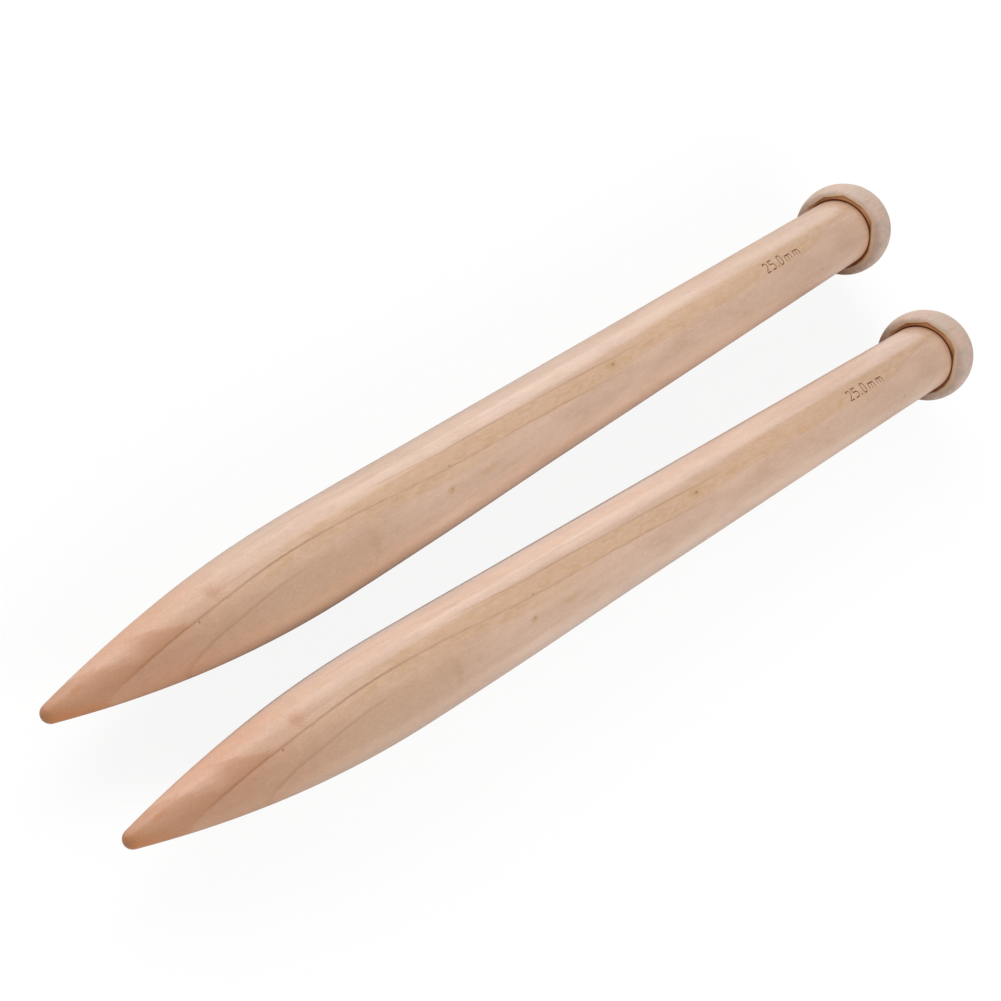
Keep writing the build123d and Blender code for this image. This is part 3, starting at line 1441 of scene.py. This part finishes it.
@dataclass(frozen=True)
class GlueRing:
    """The cured glue: a cup round the shaft's seat, which ends as a sunk ring in the flare."""

    sizes: NeedleSizes
    cap: EndCap
    round_steps: int = 180
    groove_depth: float = 0.2 * MM      # of the dark groove beside the shaft
    groove_width: float = 0.34 * MM
    groove_rise: float = 0.05 * MM      # how much less deep it is in the middle
    groove_edge: float = 0.04 * MM      # and how deep at its outer edge
    groove_margin: float = 0.05 * MM    # what lies this far outside the groove follows the cap
    sharp_angle: float = 35.0           # edges sharper than this many degrees show as edges

    def section(self) -> Section:
        """The half-section.

        Returns:
            Its points, from the middle of the cup's floor, round the ring, and back on the outside.
        """
        s = self.sizes
        groove_x = s.ring_x + self.groove_depth
        return [
            (s.seat_end, 0.0),
            (s.seat_end, s.seat_radius - s.seat_chamfer),
            (s.seat_end - s.seat_chamfer, s.seat_radius),
            (groove_x, s.seat_radius),
            (groove_x, s.shaft_radius),
            (groove_x - self.groove_rise, s.shaft_radius + self.groove_width / 2),
            (s.ring_x + self.groove_edge, s.shaft_radius + self.groove_width),
            (s.ring_x, s.flare_radius(s.glue_recess)),
            (s.flare_end, s.socket_radius),
            (s.socket_floor, s.socket_radius),
            (s.socket_floor, 0.0),
        ]

    def build(self) -> bpy.types.Object:
        """Turns the cup of glue and fits its ring to the pared mouth.

        Returns:
            The glue, in the needle's own frame.
        """
        glue = turn_on_lathe("cap_glue", self.section(), self.round_steps)
        move_points(glue, self._fitted)
        smooth(glue, self.sharp_angle)
        return glue

    def _fitted(self, point: Vector) -> Vector:
        """Follows the cap's flare with the glue's outside, and the mouth's plane with its inside.

        Args:
            point: A point of the plain turned glue.

        Returns:
            Its new place.
        """
        s = self.sizes
        groove_end = s.shaft_radius + self.groove_width + self.groove_margin
        if math.hypot(point.y, point.z) > groove_end:
            return self.cap.pared(point)
        return s.tilted(point, point.x < s.flare_end)


# ---------------------------------------------------------------- the pair


@dataclass
class Needle:
    """One needle of the pair: where it lies, and its pieces."""

    side: Side
    place: Matrix = field(init=False)

    def __post_init__(self) -> None:
        """Reads the needle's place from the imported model."""
        centre, _ = self.ball(self.side)
        along = -Vector(self.shank(self.side)["axis"]).normalized()
        across = Vector((0.0, 0.0, 1.0)).cross(along).normalized()
        turn = Matrix((along, across, along.cross(across))).transposed()
        self.place = Matrix.Translation(centre) @ turn.to_4x4()

    @staticmethod
    def ball(side: Side) -> tuple[Vector, float]:
        """The ball of a needle's packed cap.

        Args:
            side: The needle.

        Returns:
            The ball's centre and its radius.
        """
        low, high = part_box(side.node("end_cap"))
        radius = (high.y - low.y) / 2
        return Vector((high.x - radius, (low.y + high.y) / 2, (low.z + high.z) / 2)), radius

    @staticmethod
    def shank(side: Side) -> dict:
        """The record's mount on a needle's full-diameter shank."""
        mounts = frame["record"]["mounts"]
        return next(mount for mount in mounts if mount["name"] == f"{side.value}_needle_shank")

    def add(self, master: bpy.types.Object, slot: Slot, material: bpy.types.Material) -> None:
        """Copies a piece into its place on this needle and dresses it.

        Args:
            master: The piece in the needle's own frame.
            slot: The record's slot for its finish, which is not used.
            material: Its material.
        """
        node = self.side.node(master.name)
        piece = master.copy()
        piece.data = master.data.copy()
        piece.name = piece.data.name = f"{node}_finished"
        bpy.context.scene.collection.objects.link(piece)
        piece.matrix_world = self.place
        select_only(piece)
        bpy.ops.object.transform_apply(location=True, rotation=True, scale=True)
        piece.data.materials.clear()
        piece.data.materials.append(material)
        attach(piece, self.side.body)
        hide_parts(node)
        LOG.info("%s: %d faces", piece.name, len(piece.data.polygons))


@dataclass(frozen=True)
class SoftLamp:
    """A long soft lamp beside the needles, facing them."""

    name: str
    place: tuple[float, float, float]
    length: float           # along X
    height: float
    tilt: float             # how far it faces down from level, in degrees
    brightness: float       # where 1 is as bright as a white sheet in full light
    in_gloss: bool          # whether it is the sheet that shows in the clear coat, or the light

    def build(self) -> None:
        """Hangs the lamp."""
        bpy.ops.object.light_add(type="AREA", location=self.place)
        lamp = bpy.context.object
        lamp.name = self.name
        lamp.data.shape = "RECTANGLE"
        lamp.data.size = self.length
        lamp.data.size_y = self.height
        lamp.data.energy = self.brightness * math.pi * self.length * self.height
        facing = self.tilt - 90.0 if self.place[1] >= 0 else 90.0 - self.tilt
        lamp.rotation_euler = Euler((math.radians(facing), 0.0, 0.0))
        lamp.visible_glossy = self.in_gloss
        lamp.visible_diffuse = not self.in_gloss


@dataclass(frozen=True)
class Studio:
    """The pale floor, the soft lights and the camera."""

    floor_size: float = 6.0
    floor_colour: Colour = srgb(250, 250, 249)
    floor_bounce: Colour = srgb(204, 203, 201)  # what the needles get back from it
    floor_glow: float = 0.9             # how much of the floor's look is plain white
    surroundings: float = 0.35          # brightness of the room
    lamps: tuple[SoftLamp, ...] = (
        SoftLamp("left_light", (0.0, 1.2, 0.75), 2.4, 0.7, 32.0, 4.2, False),
        SoftLamp("right_light", (0.0, -1.2, 0.75), 2.4, 0.7, 32.0, 3.6, False),
        SoftLamp("upper_sheet", (1.3, 1.0, 0.64), 5.0, 0.28, 0.0, 1.1, True),
        SoftLamp("lower_sheet", (1.3, 1.0, 0.255), 5.0, 0.49, 0.0, 1.25, True),
        SoftLamp("gap_strip", (0.0, 0.0, 0.014), 0.42, 0.024, 0.0, 0.6, True),
    )
    camera_place: tuple[float, float, float] = (-0.36850, -0.00427, 0.30365)
    camera_heading: float = 1.966       # from +X towards +Y, in degrees
    camera_pitch: float = 42.640        # below the horizon
    camera_roll: float = 56.352
    lens: float = 57.53                 # its focal length, in millimetres
    sensor_width: float = 36.0
    nearest: float = 0.01               # the camera sees nothing nearer, or farther than the farthest
    farthest: float = 50.0

    def build(self) -> None:
        """Makes the whole studio."""
        self._floor()
        self._world()
        for lamp in self.lamps:
            lamp.build()
        self._camera()
        bpy.context.scene.view_settings.view_transform = "Standard"

    def _floor(self) -> None:
        """A wide pale sheet that keeps the needles' soft shadow."""
        bpy.ops.object.select_all(action="DESELECT")
        bpy.ops.mesh.primitive_plane_add(size=self.floor_size, location=(0.0, 0.0, 0.0))
        floor = bpy.context.object
        floor.name = "floor"
        shader = Shader(bpy.data.materials.new("pale_floor"))
        colour = shader.mix(shader.seen_by_camera(), self.floor_bounce, self.floor_colour)
        sheet = shader.node("ShaderNodeBsdfDiffuse", {}, {"Color": colour})["BSDF"]
        white = shader.node("ShaderNodeEmission", {}, {"Color": WHITE, "Strength": 1.0})["Emission"]
        shader.finish("ShaderNodeOutputMaterial", shader.for_camera(self.floor_glow, sheet, white))
        floor.data.materials.append(shader.owner)

    def _world(self) -> None:
        """An even pale room, white where the camera sees it."""
        shader = Shader(bpy.data.worlds.new("room"))
        room, white = (
            shader.node("ShaderNodeBackground", {}, {"Color": WHITE, "Strength": strength})["Background"]
            for strength in (self.surroundings, 1.0)
        )
        shader.finish("ShaderNodeOutputWorld", shader.for_camera(1.0, room, white))
        bpy.context.scene.world = shader.owner

    def _camera(self) -> None:
        """The camera, close to the tips and above them."""
        heading = Matrix.Rotation(math.radians(self.camera_heading - 90.0), 4, "Z")
        pitch = Matrix.Rotation(math.radians(90.0 - self.camera_pitch), 4, "X")
        roll = Matrix.Rotation(math.radians(self.camera_roll), 4, "Z")
        bpy.ops.object.camera_add(location=self.camera_place)
        camera = bpy.context.object
        camera.name = "camera"
        camera.rotation_euler = (heading @ pitch @ roll).to_euler()
        camera.data.sensor_width = self.sensor_width
        camera.data.lens = self.lens
        camera.data.clip_start = self.nearest
        camera.data.clip_end = self.farthest
        bpy.context.scene.camera = camera


def dress(sizes: NeedleSizes, sides: Iterable[Side]) -> None:
    """Builds each piece once and puts a copy of it on every needle.

    Args:
        sizes: The sizes that the pieces share.
        sides: The needles.
    """
    cap_maker = EndCap(sizes)
    masters = {
        Slot.SHAFT: (Shaft(sizes).build(), ShaftWood()),
        Slot.CAP: (cap_maker.build(), CapWood()),
        Slot.GLUE: (GlueRing(sizes, cap_maker).build(), CuredGlue()),
    }
    for side in sides:
        needle = Needle(side)
        for slot, (master, finish) in masters.items():
            needle.add(master, slot, finish.material(f"{side.value}_{slot.value}", needle.place))
    for master, _ in masters.values():
        bpy.data.objects.remove(master)


def main() -> None:
    """Builds the pair of needles and the studio."""
    logging.basicConfig(level=logging.INFO, format="%(name)s %(message)s")
    _, cap_radius = Needle.ball(Side.LEFT)
    dress(NeedleSizes(cap_radius, Needle.shank(Side.LEFT)["dims"]["r_mm"] * MM), Side)
    Studio().build()


if __name__ == "__main__":
    main()
